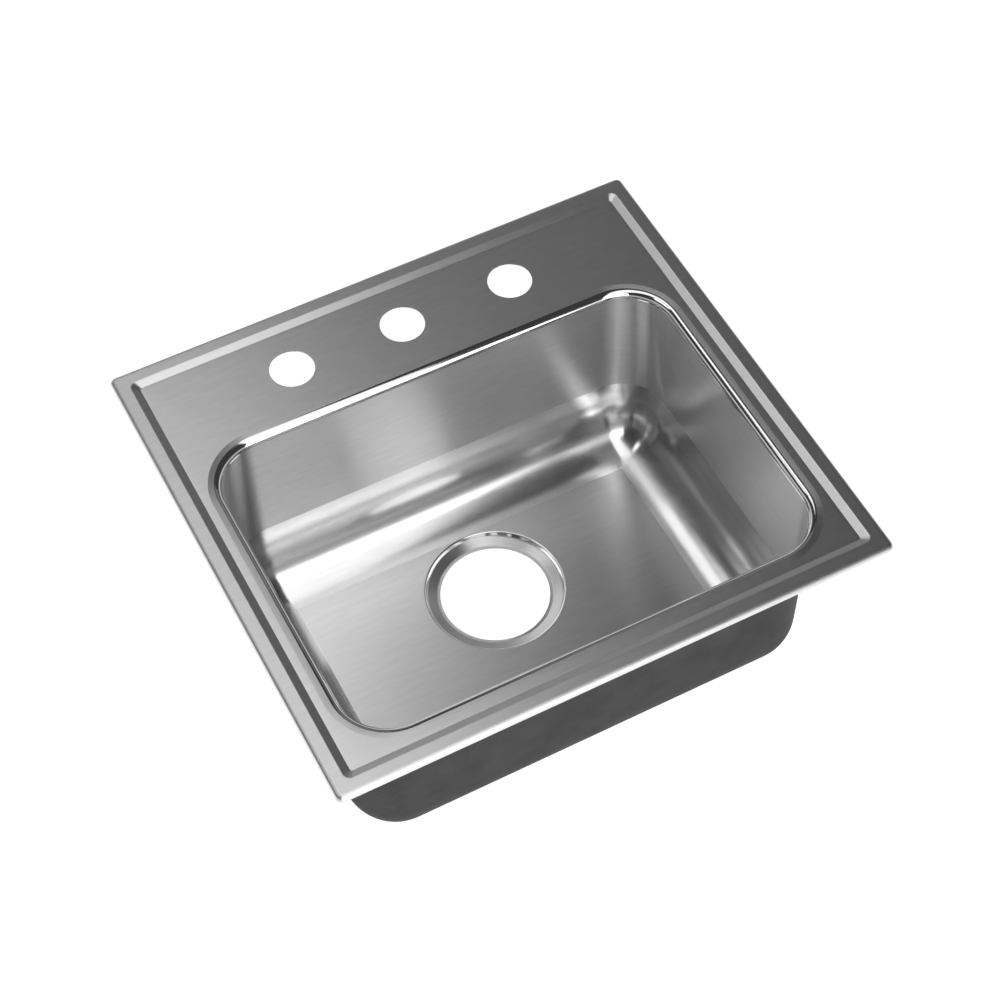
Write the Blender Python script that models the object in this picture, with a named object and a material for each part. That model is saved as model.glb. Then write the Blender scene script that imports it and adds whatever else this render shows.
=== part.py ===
"""Drop-in kitchen sink with one bowl: a drawn stainless sheet whose rim rests on the countertop.

The bowl wears a sound-deadening coat. Channels under the ledges hold T-bolts, and each bolt carries
a swinging clamp, a washer and a nut that pull the rim down onto the countertop.
Millimetres here, metres in the scene. Z = 0 is the countertop's face, X = Y = 0 the middle of the
rim, and the faucet ledge is at +Y.
"""

import math

import bmesh
import bpy
from mathutils import Matrix, Vector

MM = 0.001
GAP = 0.3  # between pieces that touch

# Driving dimensions of the sheet.
OVERALL_X, OVERALL_Y = 482.6, 444.5  # 19 x 17 1/2 in
SHEET = 1.2  # 18 gauge
OUTER_CORNER_R = 6.0
EDGE_ROLL_R = 4.3
RIM_TOP_Z = 5.0
DECK_Z = 2.5
STEP_TOP_INSET, STEP_FOOT_INSET = 13.5, 20.0
STEP_TOP_R, STEP_FOOT_R = 6.0, 2.0

OPENING_X, OPENING_Y = 419.1, 304.8  # 16 1/2 x 12 in
FRONT_LEDGE = 31.75
OPENING_CORNER_R = 48.0
BEND_R = 6.1
SIDE_DRAFT, FRONT_DRAFT = 0.5, 4.5
COVE_R = 43.0
FLOOR_DEPTH = 185.0  # below the deck
BOWL_Y = -OVERALL_Y / 2 + FRONT_LEDGE + OPENING_Y / 2

DRAIN_Y = -1.0
DRAIN_RIM_R, DRAIN_CONE_R, DRAIN_SEAT_R, DRAIN_HOLE_R = 60.5, 58.5, 50.6, 47.6
DRAIN_STEP, DRAIN_DEPTH = 3.5, 6.5

FAUCET_HOLE_R = 19.05
FAUCET_SPACING = 101.6
FAUCET_Y = 162.5

COAT = 1.5
COAT_TOP_DEPTH = 12.0
COAT_DRAIN_R = 63.5

# Driving dimensions of the fixings.
RAIL_INSET = 25.5
RAIL_W, RAIL_H, RAIL_WALL, RAIL_SLOT = 10.5, 8.0, 1.2, 5.6
RAIL_X, RAIL_Y = 380.0, 340.0
BOLT_R, BOLT_TIP_Z = 2.4, -36.0
HEAD_X, HEAD_Y, HEAD_Z = 9.0, 7.4, 2.5
NUT_ACROSS, NUT_H = 9.0, 4.0
WASHER_R, WASHER_H = 6.0, 1.2
CLAMP_W, CLAMP_T, CLAMP_REACH, CLAMP_HEEL, CLAMP_TIP = 12.0, 2.0, 27.0, 6.5, 4.0
HOLE_CLEARANCE = 0.35
CARRIAGE_Z = -26.5  # underside of the clamp at rest
RAIL_TOP_Z = DECK_Z - SHEET - GAP
BOLT_HEAD_Z = RAIL_TOP_Z - RAIL_H + RAIL_WALL + GAP
CLAMP_BORE = BOLT_R + HOLE_CLEARANCE

CORNER_STEPS = 7
RING = 4 * (CORNER_STEPS + 1)

BRUSHED = ("brushed stainless steel", (0.62, 0.62, 0.61), 0.28, 1.0)
COATING = ("sound-deadening coat", (0.06, 0.06, 0.06), 0.85, 0.0)
ZINC = ("zinc-plated steel", (0.55, 0.56, 0.57), 0.35, 1.0)


def material(kind):
    name, color, roughness, metallic = kind
    made = bpy.data.materials.get(name) or bpy.data.materials.new(name)
    made.use_nodes = True
    shader = made.node_tree.nodes["Principled BSDF"]
    shader.inputs["Base Color"].default_value = (*color, 1.0)
    shader.inputs["Roughness"].default_value = roughness
    shader.inputs["Metallic"].default_value = metallic
    return made


def new_object(name, mesh, kind=None):
    made = bpy.data.objects.new(name, mesh)
    bpy.context.collection.objects.link(made)
    if kind:
        mesh.materials.clear()
        mesh.materials.append(material(kind))
    return made


def finished(work, name):
    """The bmesh, scaled to metres, as a mesh with its round faces smooth."""
    bmesh.ops.transform(work, matrix=Matrix.Scale(MM, 4), verts=work.verts)
    bmesh.ops.recalc_face_normals(work, faces=work.faces)
    mesh = bpy.data.meshes.new(name)
    work.to_mesh(mesh)
    work.free()
    mesh.shade_smooth()
    mesh.set_sharp_from_angle(angle=math.radians(35))
    return mesh


def cut(target, cutter):
    cutter.hide_render = True
    cutter.display_type = "WIRE"
    modifier = target.modifiers.new(cutter.name, "BOOLEAN")
    modifier.operation = "DIFFERENCE"
    modifier.object = cutter


def cylinder(radius, low, high, sides=32):
    """A closed bmesh cylinder about Z."""
    work = bmesh.new()
    place = Matrix.Translation((0, 0, (low + high) / 2))
    bmesh.ops.create_cone(
        work, cap_ends=True, segments=sides, radius1=radius, radius2=radius, depth=high - low, matrix=place
    )
    return work


def rounded_rectangle(half_x, half_y, radius, z, middle_y=0.0):
    points = []
    for quarter in range(4):
        start = quarter * math.pi / 2
        side_x = 1 if quarter in (0, 3) else -1
        side_y = 1 if quarter in (0, 1) else -1
        for step in range(CORNER_STEPS + 1):
            angle = start + step / CORNER_STEPS * math.pi / 2
            x = side_x * (half_x - radius) + radius * math.cos(angle)
            y = side_y * (half_y - radius) + radius * math.sin(angle)
            points.append((x, middle_y + y, z))
    return points


def circle(radius, z, middle_y):
    angles = [(step + 0.5) / RING * math.tau for step in range(RING)]
    return [(radius * math.cos(a), middle_y + radius * math.sin(a), z) for a in angles]


def rim_ring(inset, radius, z):
    return rounded_rectangle(OVERALL_X / 2 - inset, OVERALL_Y / 2 - inset, radius, z)


def bowl_ring(inset_x, inset_y, radius, depth):
    half_x, half_y = OPENING_X / 2 - inset_x, OPENING_Y / 2 - inset_y
    return rounded_rectangle(half_x, half_y, radius, DECK_Z - depth, BOWL_Y)


def bowl_wall(offset, top_depth):
    """Rings of the bowl's wall, cove and floor edge, this far outside its inner face."""
    rings = []
    straight = FLOOR_DEPTH - COVE_R
    for depth in (top_depth, straight):
        drawn = (depth - BEND_R) / (FLOOR_DEPTH - BEND_R)
        inset_x = BEND_R + SIDE_DRAFT * drawn - offset
        inset_y = BEND_R + FRONT_DRAFT * drawn - offset
        rings.append(bowl_ring(inset_x, inset_y, OPENING_CORNER_R - BEND_R + offset, depth))
    radius = COVE_R + offset
    for step in range(1, 7):
        angle = step / 6 * math.pi / 2
        inward = radius * (1 - math.cos(angle))
        corner = max(OPENING_CORNER_R - BEND_R + offset - inward, 2.0)
        depth = straight + radius * math.sin(angle)
        rings.append(bowl_ring(inset_x + inward, inset_y + inward, corner, depth))
    return rings


def loft(rings):
    work = bmesh.new()
    loops = [[work.verts.new(point) for point in ring] for ring in rings]
    for one, other in zip(loops, loops[1:]):
        for i in range(RING):
            j = (i + 1) % RING
            work.faces.new((one[i], one[j], other[j], other[i]))
    return work


def sheet_mesh(name, rings, upright):
    """A lofted sheet whose first face's normal is turned to point up or down as asked."""
    work = loft(rings)
    bmesh.ops.transform(work, matrix=Matrix.Scale(MM, 4), verts=work.verts)
    bmesh.ops.recalc_face_normals(work, faces=work.faces)
    floor = min(work.faces, key=lambda face: face.calc_center_median().z)
    if (floor.normal.z > 0) != upright:
        bmesh.ops.reverse_faces(work, faces=work.faces)
    mesh = bpy.data.meshes.new(name)
    work.to_mesh(mesh)
    work.free()
    mesh.shade_smooth()
    mesh.set_sharp_from_angle(angle=math.radians(35))
    return mesh


def thicken(target, thickness):
    modifier = target.modifiers.new("sheet", "SOLIDIFY")
    modifier.thickness = thickness * MM
    modifier.offset = -1.0
    modifier.use_even_offset = True
    modifier.use_rim = True


def make_sink_shell():
    rings = []
    for step in range(5):
        angle = step / 4 * math.pi / 2
        inset = EDGE_ROLL_R * (1 - math.sin(angle))
        height = RIM_TOP_Z - EDGE_ROLL_R * (1 - math.cos(angle))
        rings.insert(0, rim_ring(inset, max(OUTER_CORNER_R - inset, 1.5), height))
    rings.insert(0, rim_ring(0, OUTER_CORNER_R, 0.0))
    rings.append(rim_ring(STEP_TOP_INSET, STEP_TOP_R, RIM_TOP_Z))
    rings.append(rim_ring(STEP_FOOT_INSET, STEP_FOOT_R, DECK_Z))
    for step in range(5):
        angle = step / 4 * math.pi / 2
        inward = BEND_R * math.sin(angle)
        depth = BEND_R * (1 - math.cos(angle))
        rings.append(bowl_ring(inward, inward, OPENING_CORNER_R - inward, depth))
    rings += bowl_wall(0.0, BEND_R)[1:]
    floor = DECK_Z - FLOOR_DEPTH
    rings.append(circle(DRAIN_RIM_R, floor, DRAIN_Y))
    rings.append(circle(DRAIN_CONE_R, floor - DRAIN_STEP, DRAIN_Y))
    rings.append(circle(DRAIN_SEAT_R, floor - DRAIN_DEPTH, DRAIN_Y))
    rings.append(circle(DRAIN_HOLE_R, floor - DRAIN_DEPTH, DRAIN_Y))
    shell = new_object("sink_shell", sheet_mesh("sink_shell", rings, upright=True), BRUSHED)
    thicken(shell, SHEET)
    for side in (-1, 0, 1):
        drill = finished(cylinder(FAUCET_HOLE_R, -20, 20, 36), "faucet_hole")
        hole = new_object(f"faucet_hole_cutter_{side + 2}", drill)
        hole.location = Vector((side * FAUCET_SPACING, FAUCET_Y, 0)) * MM
        cut(shell, hole)


def make_undercoat():
    rings = bowl_wall(SHEET + GAP + COAT, COAT_TOP_DEPTH)
    rings.append(circle(DRAIN_HOLE_R, DECK_Z - FLOOR_DEPTH - SHEET - GAP - COAT, DRAIN_Y))
    coat = new_object("undercoat", sheet_mesh("undercoat", rings, upright=False), COATING)
    thicken(coat, COAT)
    drill = finished(cylinder(COAT_DRAIN_R, -230, -170, RING), "coat_opening")
    cutter = new_object("undercoat_drain_cutter", drill)
    cutter.location = Vector((0, DRAIN_Y, 0)) * MM
    cut(coat, cutter)


def rail_mesh(name, length):
    """A channel with its slot down, along X, with its top face at Z = 0."""
    side, inside, slot = RAIL_W / 2, RAIL_W / 2 - RAIL_WALL, RAIL_SLOT / 2
    half = [(slot, -RAIL_H), (side, -RAIL_H), (side, 0)]
    inner = [(inside, -RAIL_WALL), (inside, RAIL_WALL - RAIL_H), (slot, RAIL_WALL - RAIL_H)]
    outline = half + [(-y, z) for y, z in reversed(half)]
    outline += [(-y, z) for y, z in reversed(inner)] + inner
    work = bmesh.new()
    face = work.faces.new([work.verts.new((-length / 2, y, z)) for y, z in outline])
    grown = bmesh.ops.extrude_face_region(work, geom=[face])["geom"]
    moved = [item for item in grown if isinstance(item, bmesh.types.BMVert)]
    bmesh.ops.translate(work, verts=moved, vec=(length, 0, 0))
    return finished(work, name)


def bolt_mesh():
    """A T-bolt: its head rides inside the channel, its shank hangs through the slot."""
    work = bmesh.new()
    head = bmesh.ops.create_cube(work, size=1.0)["verts"]
    bmesh.ops.scale(work, verts=head, vec=(HEAD_X, HEAD_Y, HEAD_Z))
    bmesh.ops.translate(work, verts=head, vec=(0, 0, HEAD_Z / 2))
    base = min(work.faces, key=lambda face: face.calc_center_median().z)
    shank = BOLT_HEAD_Z - BOLT_TIP_Z
    sides = 16
    ring = []
    for depth, radius in ((0, BOLT_R), (shank - 1, BOLT_R), (shank, BOLT_R - 0.8)):
        angles = [(step + 0.5) / sides * math.tau for step in range(sides)]
        ring.append([work.verts.new((radius * math.cos(a), radius * math.sin(a), -depth)) for a in angles])
    corners = list(base.verts)
    bmesh.ops.delete(work, geom=[base], context="FACES_ONLY")
    edges = [work.edges.new((ring[0][i], ring[0][(i + 1) % sides])) for i in range(sides)]
    outer = [work.edges.get((corners[i], corners[(i + 1) % 4])) for i in range(4)]
    bmesh.ops.bridge_loops(work, edges=edges + outer)
    for one, other in zip(ring, ring[1:]):
        for i in range(sides):
            j = (i + 1) % sides
            work.faces.new((one[i], one[j], other[j], other[i]))
    work.faces.new(ring[-1])
    return finished(work, "t_bolt")


def annulus_mesh(name, outline, bore, low, high):
    """A flat ring between an outline and a round bore that has as many points."""
    count = len(outline)
    angles = [math.atan2(y, x) for x, y in outline]
    hole = [(bore * math.cos(a), bore * math.sin(a)) for a in angles]
    work = bmesh.new()
    loops = [
        [work.verts.new((x, y, z)) for x, y in points]
        for points, z in ((outline, low), (outline, high), (hole, high), (hole, low))
    ]
    for k in range(4):
        one, other = loops[k], loops[(k + 1) % 4]
        for i in range(count):
            j = (i + 1) % count
            work.faces.new((one[i], one[j], other[j], other[i]))
    return finished(work, name)


def hexagon(across):
    corner = across / 2 / math.cos(math.pi / 6)
    points = []
    for side in range(6):
        angle = side * math.pi / 3
        here = Vector((corner * math.cos(angle), corner * math.sin(angle)))
        after = Vector((corner * math.cos(angle + math.pi / 3), corner * math.sin(angle + math.pi / 3)))
        points += [tuple(here), tuple((here + after) / 2)]
    return points


def clamp_mesh():
    """A steel dog with a turned-up toe, along +X, its underside at Z = 0."""
    profile = [
        (-CLAMP_HEEL, 0),
        (CLAMP_REACH, 0),
        (CLAMP_REACH, CLAMP_T + CLAMP_TIP),
        (CLAMP_REACH - CLAMP_T, CLAMP_T + CLAMP_TIP),
        (CLAMP_REACH - CLAMP_T, CLAMP_T),
        (-CLAMP_HEEL, CLAMP_T),
    ]
    work = bmesh.new()
    face = work.faces.new([work.verts.new((x, -CLAMP_W / 2, z)) for x, z in profile])
    grown = bmesh.ops.extrude_face_region(work, geom=[face])["geom"]
    moved = [item for item in grown if isinstance(item, bmesh.types.BMVert)]
    bmesh.ops.translate(work, verts=moved, vec=(0, CLAMP_W, 0))
    return finished(work, "clamp")


def make_rails():
    across, along = OVERALL_X / 2 - RAIL_INSET, OVERALL_Y / 2 - RAIL_INSET
    for name, length, x, y, turn in (
        ("rail_front", RAIL_X, 0, -along, 0),
        ("rail_back", RAIL_X, 0, along, 0),
        ("rail_left", RAIL_Y, -across, 0, 90),
        ("rail_right", RAIL_Y, across, 0, 90),
    ):
        rail = new_object(name, rail_mesh(name, length), ZINC)
        rail.location = Vector((x, y, RAIL_TOP_Z)) * MM
        rail.rotation_euler.z = math.radians(turn)


def clip_places():
    """Each clip's name, place and the turn that stows its clamp along the rail, away from the middle."""
    across, along = OVERALL_X / 2 - RAIL_INSET, OVERALL_Y / 2 - RAIL_INSET
    return (
        ("front_left", -120, -along, 180),
        ("front_right", 120, -along, 0),
        ("right_front", across, -90, 270),
        ("right_back", across, 90, 90),
        ("back_right", 150, along, 0),
        ("back_left", -150, along, 180),
        ("left_back", -across, 90, 90),
        ("left_front", -across, -90, 270),
    )


def make_clips():
    bolt, clamp = bolt_mesh(), clamp_mesh()
    nut = annulus_mesh("nut", hexagon(NUT_ACROSS), CLAMP_BORE, 0, NUT_H)
    angles = [step / 20 * math.tau for step in range(20)]
    edge = [(WASHER_R * math.cos(a), WASHER_R * math.sin(a)) for a in angles]
    washer = annulus_mesh("washer", edge, CLAMP_BORE, 0, WASHER_H)
    hole = finished(cylinder(CLAMP_BORE, -1, 1 + CLAMP_T, 16), "clamp_hole")
    washer_z = CARRIAGE_Z - GAP - WASHER_H
    for name, x, y, turn in clip_places():
        for kind, mesh, z in (
            ("bolt", bolt, BOLT_HEAD_Z),
            ("clamp", clamp, CARRIAGE_Z),
            ("washer", washer, washer_z),
            ("nut", nut, washer_z - GAP - NUT_H),
        ):
            piece = new_object(f"{kind}_{name}", mesh)
            if not mesh.materials:
                mesh.materials.append(material(ZINC))
            piece.location = Vector((x, y, z)) * MM
            piece.rotation_euler.z = math.radians(turn)
            if kind == "clamp":
                cutter = new_object(f"clamp_hole_cutter_{name}", hole)
                cutter.location = piece.location
                cut(piece, cutter)


def main():
    for old in list(bpy.data.objects):
        bpy.data.objects.remove(old, do_unlink=True)
    make_sink_shell()
    make_undercoat()
    make_rails()
    make_clips()


main()
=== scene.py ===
"""Drop-in kitchen sink with one bowl: the looks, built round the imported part.

Laid out as a Blender add-on and run as a script. Each operator makes one piece, or one group of like
pieces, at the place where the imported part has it. Sizes are in millimetres until a mesh is finished.
"""

import math

import bmesh
import bpy
from bpy.props import FloatProperty, FloatVectorProperty, PointerProperty
from bpy.types import Operator, Panel, PropertyGroup
from mathutils import Matrix, Vector


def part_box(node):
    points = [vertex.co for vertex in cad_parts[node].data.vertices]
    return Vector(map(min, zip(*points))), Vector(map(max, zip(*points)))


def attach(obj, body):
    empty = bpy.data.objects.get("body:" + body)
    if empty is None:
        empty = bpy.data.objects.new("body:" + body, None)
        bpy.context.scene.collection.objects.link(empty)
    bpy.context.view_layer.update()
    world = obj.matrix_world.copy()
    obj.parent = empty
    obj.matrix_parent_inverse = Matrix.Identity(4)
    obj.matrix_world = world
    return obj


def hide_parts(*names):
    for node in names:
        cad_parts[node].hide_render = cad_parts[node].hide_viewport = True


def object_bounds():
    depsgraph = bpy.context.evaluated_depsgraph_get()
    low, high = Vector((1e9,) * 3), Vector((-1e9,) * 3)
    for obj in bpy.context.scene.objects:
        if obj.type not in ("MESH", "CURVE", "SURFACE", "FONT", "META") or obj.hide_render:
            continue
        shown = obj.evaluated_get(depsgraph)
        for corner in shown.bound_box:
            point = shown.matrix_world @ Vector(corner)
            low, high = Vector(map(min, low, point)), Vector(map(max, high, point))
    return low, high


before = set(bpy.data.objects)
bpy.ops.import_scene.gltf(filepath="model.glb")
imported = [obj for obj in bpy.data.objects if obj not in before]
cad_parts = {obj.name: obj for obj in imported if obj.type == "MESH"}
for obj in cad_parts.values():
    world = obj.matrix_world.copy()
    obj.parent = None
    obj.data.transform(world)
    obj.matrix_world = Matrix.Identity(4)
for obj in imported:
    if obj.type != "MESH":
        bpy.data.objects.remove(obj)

bl_info = {
    "name": "Drop-in Kitchen Sink",
    "version": (1, 0, 0),
    "blender": (4, 5, 0),
    "location": "3D View > Sidebar > Sink",
    "description": "Builds a one-bowl stainless sink with its coat, channels and fixing clips",
    "category": "Add Mesh",
}

MM = 0.001
# Spans in each quarter of a ring, and how far the coves' last ring lies in on the flat of the floor.
CORNER_STEPS = 20
FLOOR_MARGIN = 0.6
# The sheet's three finishes, by their place in its list of materials. The polished and buffed ones also
# carry a painted highlight in their lighter tint.
SATIN, POLISHED, BUFFED = 0, 1, 2
CAD_BOX = [list(corner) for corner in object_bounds()]
SHELL_LOW, SHELL_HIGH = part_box("sink_shell")
WIDTH = (SHELL_HIGH.x - SHELL_LOW.x) / MM
DEPTH = (SHELL_HIGH.y - SHELL_LOW.y) / MM
RIM_TOP = SHELL_HIGH.z / MM


# ---------------------------------------------------------------- shapes

def arc_points(steps):
    """How many points arc_corner gives for an arc of this many steps: its own and two held ones."""
    return steps + 3


def arc_corner(before, corner, after, radius, steps, hold):
    """Points that round a profile's corner, with one held point on each side so the flats stay flat."""
    corner = Vector(corner)
    back = (Vector(before) - corner).normalized()
    ahead = (Vector(after) - corner).normalized()
    half = back.angle(ahead) / 2
    tangent = radius / math.tan(half)
    centre = corner + (back + ahead).normalized() * (radius / math.sin(half))
    start, end = corner + back * tangent, corner + ahead * tangent
    points = [start + back * hold]
    for step in range(steps + 1):
        share = step / steps
        arm = (start - centre).normalized().slerp((end - centre).normalized(), share)
        points.append(centre + arm * radius)
    points.append(end + ahead * hold)
    return [tuple(point) for point in points]


def rounded_profile(points, corners, hold=0.25):
    """A polyline whose inner corners are rounded: corners gives (radius, steps) for each of them."""
    out = [points[0]]
    for k, (radius, steps) in enumerate(corners, start=1):
        out += arc_corner(points[k - 1], points[k], points[k + 1], radius, steps, hold)
    return out + [points[-1]]


def rounded_rectangle(half_x, half_y, radius, z, middle_y):
    """A level ring with four rounded corners, anticlockwise from its +X side."""
    points = []
    for quarter in range(4):
        side_x = 1 if quarter in (0, 3) else -1
        side_y = 1 if quarter in (0, 1) else -1
        for step in range(CORNER_STEPS + 1):
            angle = (quarter + step / CORNER_STEPS) * math.pi / 2
            x = side_x * (half_x - radius) + radius * math.cos(angle)
            y = side_y * (half_y - radius) + radius * math.sin(angle)
            points.append((x, middle_y + y, z))
    return points


def circle(radius, z, middle_y):
    """A level circle with as many points as a rounded rectangle, so that the two can be joined."""
    count = 4 * (CORNER_STEPS + 1)
    angles = [(k + 0.5) / count * math.tau for k in range(count)]
    return [(radius * math.cos(a), middle_y + radius * math.sin(a), z) for a in angles]


def add_strip(work, loops):
    """Quads between neighbouring loops of the same length, loop by loop."""
    made = []
    for one, other in zip(loops, loops[1:]):
        for i in range(len(one)):
            j = (i + 1) % len(one)
            face = work.faces.new((one[i], one[j], other[j], other[i]))
            face.smooth = True
            made.append(face)
    return made


def add_loop(work, points):
    """New vertices at these points."""
    return [work.verts.new(point) for point in points]


def to_object(work, name, materials):
    """The bmesh, in millimetres, as an object in metres at the origin."""
    bmesh.ops.transform(work, matrix=Matrix.Scale(MM, 4), verts=work.verts)
    mesh = bpy.data.meshes.new(name)
    work.to_mesh(mesh)
    work.free()
    for kind in materials:
        mesh.materials.append(kind)
    made = bpy.data.objects.new(name, mesh)
    bpy.context.scene.collection.objects.link(made)
    return made


def harden(piece, thickness, middle=False, punch=None, edge=0.2, angle=40):
    """Turns a surface into sheet: thickens it, punches it, breaks its sharp edges and keeps its flats flat.

    middle puts the thickness on both sides of the surface. An edge is sharp when it turns by over angle.
    """
    thick = piece.modifiers.new("sheet", "SOLIDIFY")
    thick.thickness = thickness * MM
    thick.offset = 0.0 if middle else -1.0
    thick.use_even_offset = True
    if punch:
        hole = piece.modifiers.new("hole", "BOOLEAN")
        hole.operation, hole.object = "DIFFERENCE", punch
    broken = piece.modifiers.new("edge", "BEVEL")
    broken.width, broken.segments = edge * MM, 2
    broken.limit_method, broken.angle_limit = "ANGLE", math.radians(angle)
    flat = piece.modifiers.new("flat", "WEIGHTED_NORMAL")
    flat.keep_sharp = True
    bpy.context.view_layer.update()
    graph = bpy.context.evaluated_depsgraph_get()
    mesh = bpy.data.meshes.new_from_object(piece.evaluated_get(graph), depsgraph=graph)
    piece.modifiers.clear()
    piece.data = mesh
    if punch:
        bpy.data.objects.remove(punch)


def round_punch(radius, middle_y=0.0, middle_z=0.0):
    """A cylinder about Z, longer than any sheet is thick, that cuts a round hole."""
    work = bmesh.new()
    long, around = 40, 4 * (CORNER_STEPS + 1)
    place = Matrix.Translation((0, middle_y, middle_z))
    bmesh.ops.create_cone(work, cap_ends=True, segments=around, radius1=radius, radius2=radius, depth=long,
                          matrix=place)
    return to_object(work, "punch", [])


# ---------------------------------------------------------------- materials

def linear(hex_colour):
    """An sRGB hex colour as the linear RGBA that shaders take."""
    parts = [int(hex_colour[k:k + 2], 16) / 255 for k in (1, 3, 5)]
    return (*[c / 12.92 if c <= 0.04045 else ((c + 0.055) / 1.055) ** 2.4 for c in parts], 1.0)


def add_node(tree, kind, settings=None, **links):
    """One node with its settings, by attribute or by socket, and its links: a link i0 goes to socket 0."""
    node = tree.nodes.new(kind)
    for key, value in (settings or {}).items():
        if isinstance(key, str) and hasattr(node, key):
            setattr(node, key, value)
        else:
            node.inputs[key].default_value = value
    for key, source in links.items():
        numbered = key[0] == "i" and key[1:].isdigit()
        tree.links.new(source, node.inputs[int(key[1:]) if numbered else key])
    return node


def principled(name, colour, metallic, roughness):
    """A new material, its tree and its shader, with the values that are the same all over it."""
    kind = bpy.data.materials.new(name)
    kind.use_nodes = True
    tree = kind.node_tree
    shader = tree.nodes["Principled BSDF"]
    shader.inputs["Base Color"].default_value = (*colour[:3], 1.0)
    shader.inputs["Metallic"].default_value = metallic
    shader.inputs["Roughness"].default_value = roughness
    return kind, tree, shader


def steel_finish(name, colour, roughness, spread, grit, streak, relief, patchy):
    """Stainless steel rubbed one way. The grain map's first axis runs across the grain.

    grit and streak are the width and the length of a scratch in millimetres. A number 4 finish has
    scratches about 0.1 mm wide: they are drawn about four times as coarse, so that they show. spread
    is how far highlights stretch across them, relief their depth in millimetres, and patchy how much
    the roughness varies.
    """
    kind, tree, shader = principled(name, colour, 1.0, roughness)
    shader.inputs["Anisotropic"].default_value = spread
    grain = add_node(tree, "ShaderNodeUVMap", {"uv_map": "grain"})
    across = add_node(tree, "ShaderNodeTangent", {"direction_type": "UV_MAP", "uv_map": "grain"})
    tree.links.new(across.outputs[0], shader.inputs["Tangent"])

    scratch_size = {"Scale": (1 / grit, 1 / streak, 1)}
    band_size = {"Scale": (1 / (9 * grit), 0.3 / streak, 1)}
    fine_place = add_node(tree, "ShaderNodeMapping", scratch_size, Vector=grain.outputs[0])
    fine = add_node(tree, "ShaderNodeTexNoise", {"Scale": 1.0, "Detail": 3.0, "Roughness": 0.7},
                    Vector=fine_place.outputs[0])
    wide_place = add_node(tree, "ShaderNodeMapping", band_size, Vector=grain.outputs[0])
    wide = add_node(tree, "ShaderNodeTexNoise", {"Scale": 1.0, "Detail": 2.0}, Vector=wide_place.outputs[0])

    rubbed = {"From Min": 0.3, "From Max": 0.7, "To Min": roughness - patchy, "To Max": roughness + patchy}
    rub = add_node(tree, "ShaderNodeMapRange", rubbed, Value=fine.outputs[0])
    tree.links.new(rub.outputs[0], shader.inputs["Roughness"])
    light, dark = Vector(colour) * 1.04, Vector(colour) * 0.93
    both = add_node(tree, "ShaderNodeMath", {"operation": "ADD"}, i0=fine.outputs[0], i1=wide.outputs[0])
    tone = add_node(tree, "ShaderNodeMapRange", {"From Min": 0.65, "From Max": 1.35}, Value=both.outputs[0])
    mixed = add_node(tree, "ShaderNodeMix", {"data_type": "RGBA"}, i0=tone.outputs[0])
    mixed.inputs[6].default_value = (*dark, 1.0)
    mixed.inputs[7].default_value = (*light, 1.0)
    tree.links.new(mixed.outputs[2], shader.inputs["Base Color"])
    bump = add_node(tree, "ShaderNodeBump", {"Strength": 0.35, "Distance": relief * MM},
                    Height=fine.outputs[0])
    tree.links.new(bump.outputs[0], shader.inputs["Normal"])
    return kind


def satin_steel(colour):
    """Number 4 brushed stainless: straight fine grain that smears reflections into soft bands across it."""
    return steel_finish("brushed_stainless_steel", colour, roughness=0.35, spread=0.85,
                        grit=0.45, streak=9.0, relief=0.009, patchy=0.06)


def buffed_steel_and_highlight(colour):
    """Stainless gone over with a soft wheel, low in the bowl: shallower grain, so bands there have edges.
    Its lighter tint is painted highlight.
    """
    return steel_finish("buffed_stainless_and_painted_highlight", colour, roughness=0.19, spread=0.75,
                        grit=0.45, streak=9.0, relief=0.004, patchy=0.03)


def polished_steel_and_highlight(colour):
    """Polished stainless on the bend round the opening and the drain's edge: near-mirror light and dark. Its
    lighter tint is painted highlight.
    """
    return steel_finish("polished_stainless_and_painted_highlight", colour, roughness=0.08, spread=0.2,
                        grit=0.5, streak=60.0, relief=0.0004, patchy=0.01)


def sprayed_coat(colour):
    """Water-borne asphalt sprayed on to deaden sound: dull, dark and pebbled, with cloudy patches.

    The real pebble is about 1 mm, and is drawn about twice as coarse so that it shows.
    """
    kind, tree, shader = principled("sprayed_deadening_coat", colour, 0.0, 0.75)
    place = add_node(tree, "ShaderNodeTexCoord").outputs["Object"]
    pebble_mm, cloud_mm = 2.2, 28.0
    pebble = add_node(tree, "ShaderNodeTexNoise", {"Scale": 1000 / pebble_mm, "Detail": 2.0}, Vector=place)
    cloud = add_node(tree, "ShaderNodeTexNoise", {"Scale": 1000 / cloud_mm, "Detail": 4.0}, Vector=place)
    both = add_node(tree, "ShaderNodeMath", {"operation": "ADD"}, i0=pebble.outputs[0], i1=cloud.outputs[0])
    uneven = {"From Min": 0.75, "From Max": 1.25, "To Min": 0.55, "To Max": 1.45}
    tone = add_node(tree, "ShaderNodeMapRange", uneven, Value=both.outputs[0])
    shade = add_node(tree, "ShaderNodeVectorMath", {"operation": "SCALE", 0: colour[:3]},
                     Scale=tone.outputs[0])
    tree.links.new(shade.outputs[0], shader.inputs["Base Color"])
    dull = add_node(tree, "ShaderNodeMapRange", {"To Min": 0.62, "To Max": 0.88}, Value=pebble.outputs[0])
    tree.links.new(dull.outputs[0], shader.inputs["Roughness"])
    bump = add_node(tree, "ShaderNodeBump", {"Strength": 0.9, "Distance": 0.35 * MM},
                    Height=pebble.outputs[0])
    tree.links.new(bump.outputs[0], shader.inputs["Normal"])
    return kind


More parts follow.
